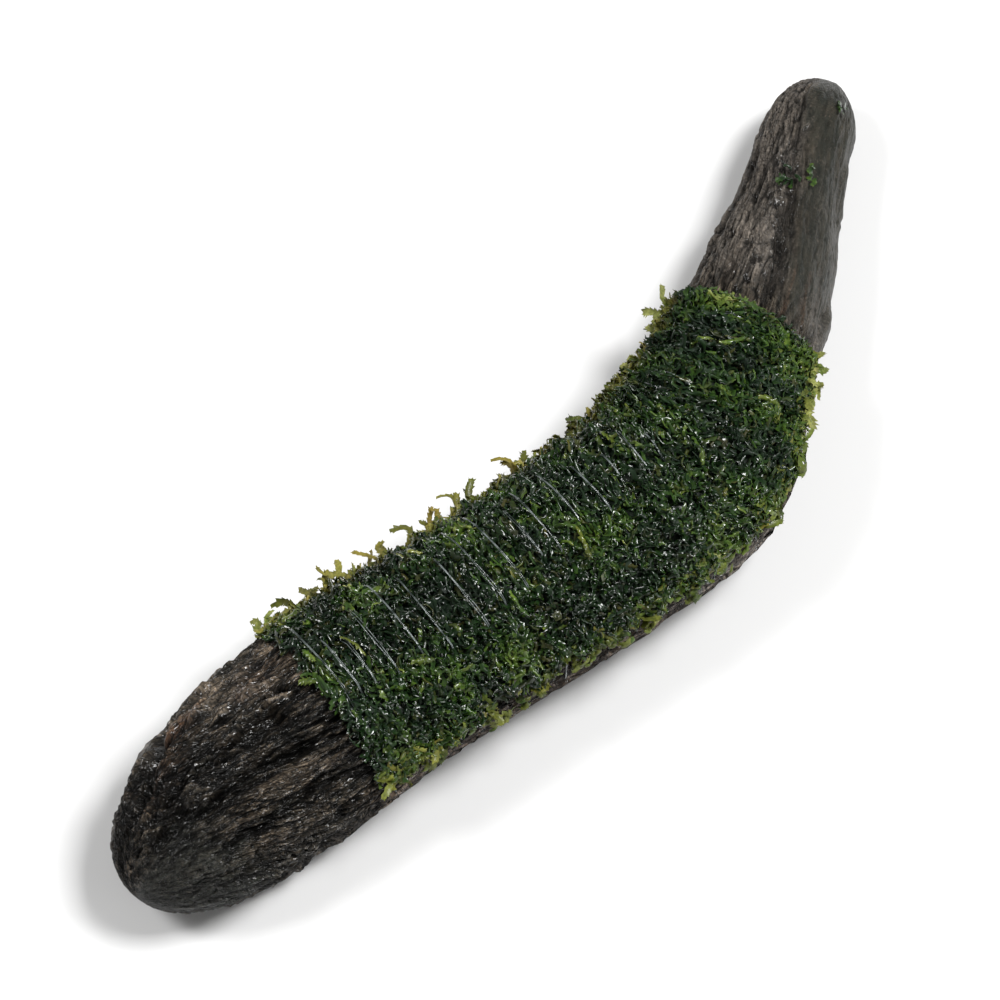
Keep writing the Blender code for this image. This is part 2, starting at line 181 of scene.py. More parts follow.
# Fronds that stand out of the mat against the light: place, height, lean along the stick, tone
# from 0 dark green to 1 pale yellow, share of ochre
STANDING = [
    (-46.2, 20, 2.8, -0.5, 0.8, 0.2), (-45, 24, 2.6, 0.9, 0.75, 0.1), (-44, 18, 2, 0.8, 0.55, 0.1),
    (-40.4, 14, 3.6, -2.4, 0.35, 0.3), (-37.6, 12, 3.6, -1.6, 0.4, 0.5), (-36.6, 12, 3.8, 0.4, 0.55, 0.4),
    (-35, 12, 5.2, -0.6, 0.8, 0.6), (-34.2, 14, 4.6, 0.6, 0.8, 0.5), (-29, 12, 4.6, -1.4, 0.6, 0.8),
    (-28, 14, 3.4, 1.2, 0.5, 0.6), (-22.7, 10, 4.4, -1.2, 0.45, 0.4), (-19.6, 10, 4.2, 0.8, 0.4, 0.9),
    (-15.6, 10, 4.6, -0.8, 0.6, 0.5), (-13.5, 12, 3.8, 1, 0.45, 0.3), (-5.9, 10, 4.6, -1, 0.55, 0.8),
    (-4.4, 12, 3, 0.8, 0.45, 0.3), (6, 12, 3.6, 0, 0.5, 0.2), (24.6, 20, 3, -1, 0.95, 0.1),
    (25.4, 18, 3, 1, 0.9, 0.1), (34.3, 14, 4.2, 0.6, 0.95, 0.1), (36, 20, 3.4, 1.6, 0.9, 0.1),
    (28.7, 158, 2.4, 0.5, 0.8, 0.2), (26.4, 156, 2.2, 1, 0.85, 0.1), (24, 156, 2.5, -0.6, 0.92, 0.1),
    (21, 156, 2.6, 0.8, 0.7, 0.1), (18.5, 156, 2.4, -0.6, 0.65, 0.1), (31.5, 158, 2.6, 0.8, 0.7, 0.1),
    (30, 150, 2.6, -0.5, 0.85, 0.2), (27.6, 148, 2.8, 0.6, 0.9, 0.1), (25.2, 148, 2.6, -0.6, 0.8, 0.2),
    (33, 152, 2.4, 0.4, 0.8, 0.2), (22.6, 150, 2.4, 0.6, 0.75, 0.1), (29.2, 162, 2, -0.8, 0.75, 0.2),
    (-46.5, 158, 3.2, -1.2, 0.6, 0.3), (-44.8, 162, 3, 0.6, 0.65, 0.4), (-38.5, 158, 3.4, -0.8, 0.6, 0.4),
    (-36.5, 160, 3, 0.8, 0.55, 0.3), (-30.3, 160, 3.4, 0.5, 0.6, 0.3), (-23.2, 162, 3.4, -0.5, 0.62, 0.4),
    (-6.4, 162, 3.4, 0.5, 0.6, 0.3), (3, 160, 3, 0.4, 0.55, 0.2), (12, 160, 3, 0.4, 0.55, 0.2),
]
# Pale fronds that lie on top of the mat: place, heading in degrees, length, tone, ochre
LYING_ON_TOP = [
    (-41.2, 78, 55, 3, 0.68, 0.2), (-35.6, 62, 20, 3.4, 0.66, 0), (-45.8, 74, 80, 1.8, 0.74, 0),
    (-46.6, 90, 215, 2.2, 0.66, 0.1), (-42, 40, 150, 2.6, 0.65, 0.1), (-33, 112, 200, 3, 0.62, 0.1),
    (-28.5, 52, 30, 3.2, 0.7, 0.3), (-20, 120, 250, 3.4, 0.62, 0), (-10, 112, 310, 3.6, 0.6, 0.2),
    (2, 60, 40, 3, 0.62, 0.1), (12, 92, 120, 3.4, 0.66, 0), (22, 128, 280, 3.2, 0.72, 0.1),
    (30, 96, 200, 3.4, 0.7, 0), (33, 120, 160, 3.2, 0.75, 0), (26, 70, 60, 3, 0.66, 0.1),
]
# Clumps of the mat that are a brighter green: place, how far they reach in millimetres, how much
BRIGHT_CLUMPS = [
    (37, 40, 2.4, 0.28), (35.2, 66, 2.2, 0.3), (34, 82, 2, 0.34), (31.2, 112, 2, 0.32),
    (28.7, 134, 2.2, 0.28), (24.5, 84, 2, 0.26), (20.6, 94, 2.4, 0.36), (17.8, 80, 2.2, 0.25),
    (21.5, 140, 2.4, 0.3), (12.9, 145, 2.2, 0.3), (6.8, 143, 2.2, 0.35), (10, 64, 2.4, 0.2),
    (-4.4, 62, 2.2, 0.3), (-12, 48, 2.6, 0.28), (-20, 56, 2.4, 0.25), (-28.3, 65, 2.4, 0.38),
    (-35.9, 62, 2.4, 0.42), (-31, 120, 2.2, 0.25), (-44.8, 32, 3, 0.42), (-45.5, 84, 2, 0.25),
    (-39, 158, 3, 0.3), (-17, 150, 2.4, 0.28), (-24, 140, 2.2, 0.22), (1.5, 150, 2.2, 0.22),
]
# Crumpled pale lobes that hang over the outer rim: place and tone
RIM_LOBES = [
    (-45, 160, 0.62), (-43, 163, 0.7), (-40, 166, 0.74), (-38, 168, 0.66), (-34.5, 160, 0.55),
    (-30, 173, 0.76), (-27.5, 174, 0.7), (-25.2, 170, 0.62), (-21, 160, 0.6), (-17, 167, 0.66),
    (-14, 168, 0.76), (-12.5, 162, 0.6), (-10, 172, 0.6), (-6, 172, 0.82), (0.7, 170, 0.62),
    (6, 168, 0.62), (13, 164, 0.6), (18, 160, 0.68), (23, 154, 0.74), (27, 154, 0.78),
    (29.4, 150, 0.72),
]


# Places on the wood

def profile(stations, x):
    """The values at x on a smooth curve through the stations."""
    xs, ys = np.array(stations, float).T
    before = np.r_[0, np.arange(len(xs) - 1)]
    after = np.r_[np.arange(1, len(xs)), len(xs) - 1]
    slopes = (ys[after] - ys[before]) / (xs[after] - xs[before])
    x = np.clip(x, xs[0], xs[-1])
    i = np.clip(np.searchsorted(xs, x, side="right") - 1, 0, len(xs) - 2)
    span = xs[i + 1] - xs[i]
    t = (x - xs[i]) / span
    return (ys[i] * (1 + 2 * t) * (1 - t) ** 2 + ys[i + 1] * t * t * (3 - 2 * t)
            + span * (slopes[i] * t * (1 - t) ** 2 - slopes[i + 1] * t * t * (1 - t)))


def ramp(value, start, end):
    """0 before start, 1 after end, and a smooth rise between them."""
    t = np.clip((value - start) / (end - start), 0, 1)
    return t * t * (3 - 2 * t)


def band(value, start, full, fade, end):
    """0 before start, 1 from full to fade, and 0 again after end."""
    return ramp(value, start, full) * (1 - ramp(value, fade, end))


def field(points, size, seed=0):
    """Smooth noise from -1 to 1 at rows of points, with lumps about size across."""
    places = np.asarray(points, float) / np.asarray(size) + seed
    values = [noise.noise(p) for p in places.reshape(-1, 3).tolist()]
    return np.array(values).reshape(places.shape[:-1])


def fractal(points, size, seed, octaves=3):
    """Noise with finer and finer lumps added, each half as large."""
    total = 0
    for octave in range(octaves):
        finer = field(points, np.asarray(size) / 2 ** octave, seed + 5.3 * octave)
        total = total + finer * 0.6 ** octave
    return total


def flat_noise(u, v, layer, size=1, seed=0):
    """Smooth noise over a flat sheet; each layer has a pattern of its own."""
    return field(np.stack(np.broadcast_arrays(u, v, layer), -1), size, seed)


def end_round(x):
    """How much of its full size a section has, falling to nothing at the two rounded ends."""
    size = np.ones_like(x, float)
    for gap, reach in ((x - THICK_END_X, THICK_END_ROUND), (THIN_TIP_X - x, THIN_TIP_ROUND)):
        size = size * np.sqrt(np.clip(1 - np.clip(1 - gap / reach, 0, 1) ** 2, 0, 1))
    return size


def eased(value):
    """A cosine or sine made fuller, which squares a round section a little."""
    return np.copysign(np.abs(value) ** SECTION_POWER, value)


def on_wood(x, angle, lift=0):
    """Points lift millimetres outside the wood's smooth envelope, in metres."""
    x, angle = np.broadcast_arrays(np.asarray(x, float), np.asarray(angle, float))
    slope = profile(AXIS_Y, x + 1) - profile(AXIS_Y, x - 1)
    across = np.hypot(slope, 2)
    crown, sole = profile(CROWN_Z, x), profile(SOLE_Z, x)
    size = end_round(x)
    side = eased(np.cos(np.radians(angle))) * (profile(HALF_WIDTH, x) * size + lift)
    rise = eased(np.sin(np.radians(angle))) * ((crown - sole) / 2 * size + lift)
    return np.stack((x - slope / across * side - MIDDLE_X,
                     profile(AXIS_Y, x) + 2 / across * side - MIDDLE_Y,
                     (crown + sole) / 2 + rise), -1) * MM


def unit(vectors):
    return vectors / np.maximum(np.linalg.norm(vectors, axis=-1, keepdims=True), 1e-12)


def directions(paths, normals):
    """The ways ahead, up and to the side along paths."""
    ahead = unit(np.gradient(paths, axis=-2))
    up = unit(normals - ahead * np.sum(normals * ahead, axis=-1, keepdims=True))
    return ahead, up, np.cross(up, ahead)


def inward(x, angle):
    """The direction straight into the wood at each place."""
    along = on_wood(x + 0.5, angle) - on_wood(x - 0.5, angle)
    around = on_wood(x, angle + 2) - on_wood(x, angle - 2)
    return unit(np.cross(along, around))


def unrolled(x, angle):
    """Places on the unrolled surface, in millimetres."""
    return np.stack(np.broadcast_arrays(np.asarray(x, float), np.radians(angle) * ARC_RADIUS), -1)


def degrees_round(length):
    """How many degrees round the wood a length in millimetres is."""
    return np.degrees(length / ARC_RADIUS)


def rounded(x, angle, radius=ARC_RADIUS):
    """Places as if the stick were a straight rod, in millimetres."""
    turn = np.radians(angle)
    return np.stack((x, np.cos(turn) * radius, np.sin(turn) * radius), -1)


def distance_to_line(points, places):
    """How far points of the unrolled surface lie from a line through places."""
    nearest = np.full(points.shape[:-1], 1000.0)
    for start, end in zip(places, places[1:]):
        a, b = unrolled(*start), unrolled(*end)
        t = np.clip((points - a) @ (b - a) / ((b - a) @ (b - a)), 0, 1)
        nearest = np.minimum(nearest, np.linalg.norm(points - a - t[..., None] * (b - a), axis=-1))
    return nearest


def folded(angle):
    """The same angle, from -90 to 270."""
    return (np.asarray(angle) + 90) % 360 - 90


# Meshes and materials

def grid_triangles(*shape, closed=False):
    """Two triangles for each cell of a grid of points, which can close round its last axis."""
    index = np.arange(math.prod(shape)).reshape(shape)
    if closed:
        index = np.concatenate((index, index[..., :1]), -1)
    corners = (index[..., :-1, :-1], index[..., 1:, :-1], index[..., 1:, 1:], index[..., :-1, 1:])
    quads = np.stack(corners, -1).reshape(-1, 4)
    return np.concatenate((quads[:, (0, 1, 2)], quads[:, (0, 2, 3)]))


def add_piece(name, node, slot, material, points, triangles, uvs, **attributes):
    """Adds a smooth mesh, with a UV and numbers or vectors for each point, for a node of the CAD."""
    mesh = bpy.data.meshes.new(name)
    points = points.astype(np.float32).reshape(-1, 3)
    triangles = triangles.astype(np.int32)
    mesh.vertices.add(len(points))
    mesh.vertices.foreach_set("co", points.ravel())
    mesh.loops.add(triangles.size)
    mesh.loops.foreach_set("vertex_index", triangles.ravel())
    mesh.polygons.add(len(triangles))
    mesh.polygons.foreach_set("loop_start", np.arange(0, triangles.size, 3, dtype=np.int32))
    mesh.polygons.foreach_set("use_smooth", np.ones(len(triangles), bool))
    corners = uvs.astype(np.float32).reshape(-1, 2)[triangles.ravel()]
    mesh.uv_layers.new(name="OFBake").data.foreach_set("uv", corners.ravel())
    for key, values in attributes.items():
        values = values.astype(np.float32).ravel()
        kind, prop = ("FLOAT", "value") if len(values) == len(points) else ("FLOAT_VECTOR", "vector")
        mesh.attributes.new(key, kind, "POINT").data.foreach_set(prop, values)
    mesh.update(calc_edges=True)
    mesh.materials.append(material)
    piece = bpy.data.objects.new(name, mesh)
    bpy.context.scene.collection.objects.link(piece)
    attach(piece, "root")
    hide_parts(node)


def socket_name(key):
    return key.replace("_", " ").title().replace("Ior", "IOR")


def new_material(name, **sockets):
    """A material, with values for sockets of its shader, named in small letters."""
    material = bpy.data.materials.new(name)
    material.use_nodes = True
    shader = material.node_tree.nodes["Principled BSDF"]
    for key, value in sockets.items():
        shader.inputs[socket_name(key)].default_value = value
    return material, material.node_tree, shader


def plug(tree, shader, **sockets):
    """Links sockets of the shader, named in the same way."""
    for key, value in sockets.items():
        tree.links.new(value, shader.inputs[socket_name(key)])


def add_node(tree, kind, inputs=None, output=0, **settings):
    """Adds a node, fills or links its inputs, and returns one of its outputs."""
    made = tree.nodes.new("ShaderNode" + kind)
    for key, value in settings.items():
        setattr(made, key, value)
    for key, value in (inputs or {}).items():
        if isinstance(value, bpy.types.NodeSocket):
            tree.links.new(value, made.inputs[key])
        else:
            made.inputs[key].default_value = value
    return made.outputs[output]


def attribute(tree, name, output="Fac"):
    return add_node(tree, "Attribute", output=output, attribute_name=name)


def maths(tree, operation, first, second=0, kind="Math"):
    return add_node(tree, kind, {0: first, 1: second}, operation=operation)


def noisy(tree, places, scale, detail, roughness=0.5, output=0):
    inputs = {"Vector": places, "Scale": scale, "Detail": detail, "Roughness": roughness}
    return add_node(tree, "TexNoise", inputs, output)


def bumped(tree, height, distance, strength=1, **normal):
    """A bump in metres, on top of another one if it is given as Normal."""
    inputs = {"Height": height, "Strength": strength, "Distance": distance, **normal}
    return add_node(tree, "Bump", inputs)


def mixed(tree, factor, first, second, blend="MIX"):
    """A mix of two colours, each a socket or (red, green, blue)."""
    made = tree.nodes.new("ShaderNodeMix")
    made.data_type, made.blend_type = "RGBA", blend
    for socket, value in ((made.inputs[0], factor), (made.inputs[6], first), (made.inputs[7], second)):
        if isinstance(value, bpy.types.NodeSocket):
            tree.links.new(value, socket)
        else:
            socket.default_value = value if isinstance(value, float) else (*value, 1)
    return made.outputs[2]


def spread(tree, value, low, high, to_low=0, to_high=1):
    """value carried from low..high to to_low..to_high, and held there."""
    return add_node(tree, "MapRange", {0: value, 1: low, 2: high, 3: to_low, 4: to_high})


# Driftwood

def wood_rings():
    """Where the rings of the fine wood lie: close on the bare ends, wide under the moss."""
    quarter = math.pi / 2
    thick = THICK_END_X + THICK_END_ROUND * (1 - np.cos(np.linspace(0, quarter, END_RINGS[0])))
    thin = THIN_TIP_X - THIN_TIP_ROUND * (1 - np.cos(np.linspace(quarter, 0, END_RINGS[1])))
    stops = (thick[-1] + RING_STEPS[0], *COVERED_RINGS, thin[0])
    middle = [np.arange(*part) for part in zip(stops, stops[1:], RING_STEPS)]
    return np.concatenate((thick, *middle, thin))


def raggedly(x, angle):
    """Places moved about by a millimetre or so, which makes the outlines of all marks ragged."""
    ring = rounded(x, angle)
    along, around = fractal(ring, (4, 2, 2), 61), fractal(ring, (5, 1.6, 1.6), 73)
    moved = np.clip(x + RAGGED_ALONG * along, THICK_END_X, THIN_TIP_X)
    return moved, angle + degrees_round(RAGGED_AROUND * around)


def coarse_relief(x, angle):
    """The relief of the CAD wood, calmer on the short arm and with a finer cut in each groove."""
    ring = rounded(x, angle)
    fibres = field(ring, (FIBRE_LENGTH, FIBRE_WIDTH, FIBRE_WIDTH))
    calm = np.maximum(0.6 * smooth_side(x, angle), 0.4 * ramp(x, 38, 48))
    height = field(ring, LUMP_SIZE) * LUMP_HEIGHT - np.abs(fibres) * FIBRE_DEPTH * (1 - calm)
    here = unrolled(x, angle)
    torn = 0.5 * field(ring, (4.5, 0.9, 0.9), 51)
    for places, half_width, mark_height in MARKS:
        away = np.abs(distance_to_line(here, places) + torn) / half_width
        cut = (mark_height < 0) * 0.25 * np.exp(-(away / 0.4) ** 2)
        height += mark_height * (np.exp(-away ** 2) + cut)
    height += PLATE_HEIGHT * plate(x, angle)
    height *= COVERED_SHARE + (1 - COVERED_SHARE) * bareness(x)
    away = distance_to_line(here, FOOT_RIDGE) / FOOT_HALF_WIDTH
    return height + FOOT_HEIGHT * np.exp(-away ** 4)


def plate(x, angle):
    """1 on the raised plate of old wood near the thick end."""
    edge = profile(PLATE_EDGE, x)
    return band(folded(angle), -30, 0, edge - PLATE_SLOPE, edge) * band(x, *PLATE_ENDS, *BARE_FROM)


def bareness(x):
    """1 on the two bare ends and 0 under the moss."""
    return 1 - ramp(x, *BARE_FROM) + ramp(x, *BARE_TO)


def grain_places(x, angle):
    """Places as straightened wood, with its grain along the first number, in millimetres."""
    radius = ARC_RADIUS * end_round(x) * profile(HALF_WIDTH, x) / 13
    return rounded(x, angle - profile(GRAIN_TURN, x), radius)


def smooth_side(x, angle):
    """1 on the smooth, dark outer side of the short arm, past its crease."""
    past = ramp(angle - profile(CREASE, x), -4, 20) * (1 - ramp(angle, 215, 240))
    return past * ramp(x, 24, 46)


def worn_end(x, angle):
    """1 on the top and outside of the thick end, which is worn smooth."""
    return ramp(-x, 64, 74) * band(angle, 74, 100, 200, 230)


def roughness(x, angle):
    """How strong the fine relief is at each place, from 0 to 1."""
    weak = (1 - 0.85 * smooth_side(x, angle)) * (1 - 0.45 * plate(x, angle))
    return weak * (1 - 0.5 * worn_end(x, angle)) * (1 - 0.45 * ramp(x, 26, 46))


def creased(points, size, seed, most):
    """Smooth noise with sharp valleys, like fibres side by side, from 0 to most."""
    return np.minimum(np.abs(fractal(points, size, seed, 2)), most)


def fine_relief(x, angle, grain):
    """Fibres, splits, flakes and pits finer than the CAD's, in millimetres, and how far each place
    lies from the dark lines between fibres, up to 1; the material paints those lines as shade in
    the creases, which are partly dark with water too."""
    calm = smooth_side(x, angle)
    old = plate(x, angle)
    strength = roughness(x, angle)
    sway = field(grain, (13, 4, 4), 14.7)
    swayed = grain + sway[..., None] * np.array((0, 0.8, 0.8))
    strands = creased(swayed, (16, 1.8, 1.8), 3.1, 0.42)
    fibres = creased(swayed, (8.5, 0.85, 0.85), 8.2, 0.36)
    hairs = creased(swayed, (5, 0.48, 0.48), 12.6, 0.34)
    turn = np.radians(angle - profile(GRAIN_TURN, x)) * ARC_RADIUS
    flakes = (turn / 2.3 + 2.4 * sway + 0.5 * fibres) % 1
    flake_edge = np.minimum(flakes, (1 - flakes) * 10) - 0.4
    splits = np.exp(-(fractal(grain, (15, 2.2, 2.2), 21.3, 2) / 0.05) ** 2)
    split_mask = ramp(field(grain, (8, 4, 4), 30.9), -0.1, 0.2)
    pits = ramp(-field(grain, (1.3, 0.7, 0.7), 40.4), 0.12, 0.4)
    short_arm = ramp(x, 34, 42)
    height = strength * ((1.5 - short_arm) * strands + 1.25 * fibres + 0.8 * hairs - 0.76)
    height += strength * (0.5 - 0.35 * short_arm) * flake_edge * ramp(sway, -0.3, 0.1)
    height -= strength * 1.1 * splits * split_mask
    height -= (0.1 + 0.18 * old + 0.16 * (1 - calm) * short_arm + 0.15 * worn_end(x, angle)) * pits
    cracks = 1 - (1 - ramp(strands, 0, 0.13)) * (1 - 0.5 * short_arm)
    clear = cracks * (0.35 + 0.65 * ramp(fibres, 0, 0.14)) * (0.6 + 0.4 * ramp(hairs, 0, 0.16))
    return height, clear * (1 - 0.8 * splits * split_mask) * (1 - 0.6 * pits)


def make_wood():
    """The wood on a fine grid, with what its material needs to know at each point."""
    above = np.linspace(0, ABOVE_TO, POINTS_ABOVE, endpoint=False)
    below = np.linspace(ABOVE_TO, 360, POINTS_BELOW, endpoint=False)
    x, angle = np.meshgrid(wood_rings(), np.concatenate((above, below)), indexing="ij")
    grain = grain_places(x, angle)
    ragged = raggedly(x, angle)
    coarse = coarse_relief(*ragged)
    fine, clear = fine_relief(x, angle, grain)
    fine = fine * (1 - 0.8 * band(angle, -20, 0, 160, 176) * band(x, -47, -42, 31, 36))
    points = on_wood(x, angle, (coarse + fine) * end_round(x))
    points[..., 2] = np.maximum(points[..., 2], 0)
    points = points.reshape(-1, 3)
    # Painted shade: the material darkens the low places of the fine and coarse relief by this.
    shade = ramp(fine + 0.4 * coarse * ramp(-coarse, 0, 0.8), -0.62, 0.22)
    *tints, wet = wood_tints(*ragged)
    # The faces look inward, and the bumps of the material are tuned to that. The first and last
    # ring are single points, so their cells lose one triangle.
    triangles = grid_triangles(*x.shape, closed=True)
    a, b, c = points[triangles].transpose(1, 0, 2)
    triangles = triangles[np.linalg.norm(np.cross(b - a, c - a), axis=1) > 1e-13]
    uvs = np.stack((x / 170 + 0.5, angle / 360), -1)
    add_piece("driftwood_bark", "driftwood", "driftwood", wood_material(), points, triangles, uvs,
              grain=grain, shade=shade, clear=clear, tints=np.stack(tints, -1), wet=wet,
              rough=roughness(x, angle))


def wood_tints(x, angle):
    """How rusty, pale, black and wet the wood is at each place, from 0 to 1, with painted light and
    shade in it: a painted warm reflection and painted light on the bare band under the outer
    rim, a painted reflection along the short arm's outer edge, and painted shade in the deep
    grooves.
    """
    here = unrolled(x, angle)

    def near(rows):
        return sum(gain * np.exp(-(distance_to_line(here, places) / half_width) ** 2)
                   for gain, places, half_width in rows)

    smooth, worn = smooth_side(x, angle), worn_end(x, angle)
    streaks = ramp(flat_noise(here[..., 0], here[..., 1], 0, (12, 0.8, 1), 90), -0.15, 0.35)
    # Painted light: the pale rows add painted light and reflection to the pale tint, on top of the plate
    # and streaks.
    pale = 0.12 * plate(x, angle) + near(PALE_AND_LIT_AT) + streaks * near(PALE_STREAKS_AT)
    pale += 0.8 * ramp(x, 36, 44) * (1 - smooth) * (1 - ramp(angle, 190, 230))
    # Painted shade: the deep grooves of MARKS are darkened along their middles.
    groove_shade = [(0.8, places, half_width * 0.6) for places, half_width, height in MARKS if height < -1]
    dark = 0.9 * worn + 0.8 * smooth + near(BLACK_AT + groove_shade)
    wet = 0.45 * (1 - ramp(x, 20, 40)) + near(WET_AT) - 0.2 * worn
    # Painted light: the rust tint also carries the painted warm reflection of the first rust row.
    return [np.clip(tint, 0, 1) for tint in (near(RUST_AND_REFLECTION_AT), pale, dark, wet)]


def valley(tree, places, scale, width):
    """Thin dark lines along the grain, painted shade in cracks that are partly dark with water too, and
    grooves in the bump: 1 in the middle of each line and 0 away from it.
    """
    away = maths(tree, "ABSOLUTE", maths(tree, "SUBTRACT", noisy(tree, places, scale, 2), 0.5))
    return spread(tree, away, 0, width, 1, 0)


def wood_material():
    """Soaked, weathered wood. Its patterns lie in straightened wood, along the grain."""
    material, tree, shader = new_material(
        "wet_driftwood", coat_roughness=0.08, coat_ior=1.42, specular_ior_level=0.05)
    grain, rough = attribute(tree, "grain", "Vector"), attribute(tree, "rough")
    shade, clear, wet = attribute(tree, "shade"), attribute(tree, "clear"), attribute(tree, "wet")
    tints = add_node(tree, "SeparateXYZ", {0: attribute(tree, "tints", "Vector")})
    rust_and_reflection, pale, dark = tints.node.outputs
    sway = noisy(tree, grain, 0.35, 2, output=1)
    sway = maths(tree, "MULTIPLY", sway, (2, 0.8, 0.8), "VectorMath")
    waved = maths(tree, "ADD", grain, sway, "VectorMath")
    along = maths(tree, "MULTIPLY", waved, (0.11, 1, 1), "VectorMath")
    short = maths(tree, "MULTIPLY", waved, (0.2, 1, 1), "VectorMath")
    streaks, patches = noisy(tree, along, 0.9, 4, 0.6), noisy(tree, grain, 0.22, 3)
    specks, grit = noisy(tree, waved, 2.6, 4, 0.7), noisy(tree, waved, 3.6, 2, 0.7)
    film = maths(tree, "MULTIPLY", noisy(tree, short, 3, 1), rough)
    valleys = maths(tree, "MAXIMUM", valley(tree, along, 1, 0.1), valley(tree, along, 2.4, 0.15))
    valleys = maths(tree, "MULTIPLY", valleys, rough)
    lines = maths(tree, "MULTIPLY", spread(tree, clear, 0.34, 0.62, 0.97, 0), rough)
    # Painted light: the tops of the fibres are painted lighter.
    lit_ridge = maths(tree, "MULTIPLY", spread(tree, clear, 0.7, 0.95, 0, 0.38), rough)
    colour = mixed(tree, spread(tree, streaks, 0.38, 0.7), *BROWN)
    # What lies over the brown, the darkest cracks last. Among them are painted light on the ridge tops
    # and painted shade in the grooves, cracks, fibre lines and hollows; the tints bring painted light and
    # reflection too.
    for factor, over in (
            (spread(tree, patches, 0.35, 0.65, 0, 0.75), BLACKENED),
            (pale, mixed(tree, spread(tree, specks, 0.35, 0.66), *GREYED_AND_LIT)),
            (rust_and_reflection, mixed(tree, spread(tree, specks, 0.38, 0.6), *RUSTY_AND_REFLECTION)),
            (lit_ridge, LIT_RIDGE_TOP), (dark, WORN_AND_SHADE), (spread(tree, specks, 0.58, 0.7, 0, 0.5), SPECK),
            (spread(tree, valleys, 0, 1, 0, 0.92), SHADED_CRACK), (lines, SHADED_FIBRE_LINE),
            (spread(tree, shade, 0, 1, 0.8, 0), SHADED_HOLLOW)):
        colour = mixed(tree, factor, colour, over)
    gritty = mixed(tree, spread(tree, grit, 0.36, 0.62), *GRIT)
    along_x = add_node(tree, "SeparateXYZ", {0: grain})
    colour = mixed(tree, spread(tree, along_x, 30, 40, 0.95, 0.2), colour, gritty, "MULTIPLY")
    # The film of water shines on wet wood, and little in its cracks
    cracks = maths(tree, "MAXIMUM", lines, valleys)
    shining = maths(tree, "MULTIPLY", spread(tree, wet, 0, 0.8, 0.3, 1),
                    spread(tree, cracks, 0.45, 1, 1, 0.2))
    ridges = bumped(tree, maths(tree, "SUBTRACT", 1, valleys), 0.00032)
    plug(tree, shader, base_color=colour, roughness=spread(tree, specks, 0.35, 0.65, 0.36, 0.58),
         normal=bumped(tree, specks, 0.0002, Normal=ridges), coat_weight=shining,
         coat_normal=bumped(tree, film, 0.00055, Normal=ridges))
    return material


# Moss

def turns_past_ends(extra):
    """The numbers of the thread's turns, with extra ones past both ends, and their places."""
    before, after = TURN_X[1] - TURN_X[0], TURN_X[-1] - TURN_X[-2]
    places = [TURN_X[0] - before * k for k in range(extra, 0, -1)] + TURN_X
    places += [TURN_X[-1] + after * k for k in range(1, extra + 1)]
    return np.arange(-extra, len(TURN_X) + extra), places


def skewed(along, angle):
    """Where a turn that crosses the top at along lies at another angle."""
    return along + profile(TURN_SKEW, along) * np.cos(np.radians(angle))


def turn_at(x, angle):
    """Which turn of the thread, with a fraction, lies at each place."""
    along = x - profile(TURN_SKEW, x) * np.cos(np.radians(angle))
    numbers, places = turns_past_ends(2)
    return np.interp(along, places, numbers)


def moss_edges(turn):
    """The ragged angles between which the mat lies."""
    middles = (MOSS_INNER_EDGE, profile(MOSS_OUTER_EDGE, turn))
    return [middle + EDGE_RAGGED * flat_noise(turn * 0.83, 11 * side, 2)
            for side, middle in enumerate(middles)]


def outer_bend(x, angle):
    """1 on the outside of the bend."""
    return ramp(x, 8, 20) * ramp(folded(angle), 60, 130)


def pressed(x, angle):
    """How much lower than elsewhere the mat and its thread lie, in millimetres."""
    return (profile(RIM_PRESSED, x) * (1 - ramp(folded(angle), 25, 70))
            + BEND_PRESSED * outer_bend(x, angle))


def mat_top(x, angle):
    """How high the mat of leaves stands over the wood, pressed down under each turn of thread."""
    turn = turn_at(x, angle)
    buried = MAT_BURIES * ramp(x, 4, 14) - pressed(x, angle)
    held = np.minimum(profile(THREAD_LIFT, folded(angle)), 2.2) - MAT_HELD + buried
    pitches = np.diff(TURN_X)
    pitch = pitches[np.clip(np.floor(turn).astype(int), 0, len(pitches) - 1)]
    room = np.minimum(1, pitch / FULL_BULGE_PITCH) ** 2 * (1 - BEND_SMOOTH * outer_bend(x, angle))
    tuft = np.clip(flat_noise(x, angle / 5, 7), -0.5, 1)
    height = held + np.sin(np.pi * turn) ** 2 * room * (MAT_BULGE + MAT_TUFT * tuft)
    inner, outer = moss_edges(turn)
    rims = band(angle, inner - 12, inner + 8, outer - 8, outer + 12)
    ends = band(turn, -1.6, -0.2, 20.2, 21)
    return np.maximum(height, 0.3) * (0.35 + 0.65 * rims) * (0.35 + 0.65 * ends)


def frond_places(x, angle, heading, bend, length, steps=FROND_NODES, centred=False):
    """The places that fronds pass along the wood, a row for each, from x and angle on or centred."""
    if centred:
        x = x - np.cos(heading) * length / 2
        angle = angle - degrees_round(np.sin(heading) * length / 2)
    way = heading[:, None] + bend[:, None] * np.linspace(0, 1, steps)
    step = length[:, None] / (steps - 1)
    around = degrees_round(np.cumsum(np.sin(way) * step, axis=1))
    return x[:, None] + np.cumsum(np.cos(way) * step, axis=1), angle[:, None] + around


def greens(tone, ochre):
    """Leaf colours for tones from 0, the dark mass, to 1, the palest tips."""
    colour = np.stack([np.interp(tone, GREENS[:, 0], GREENS[:, k]) for k in (1, 2, 3)], -1)
    return colour + ochre[..., None] * (OCHRE * (0.4 + tone[..., None]) - colour)


def reached(start, side, up, reach, slant):
    """Points that lie reach to one side of start, raised by the angle slant."""
    return start + (reach * np.cos(slant))[..., None] * side + (reach * np.sin(slant))[..., None] * up


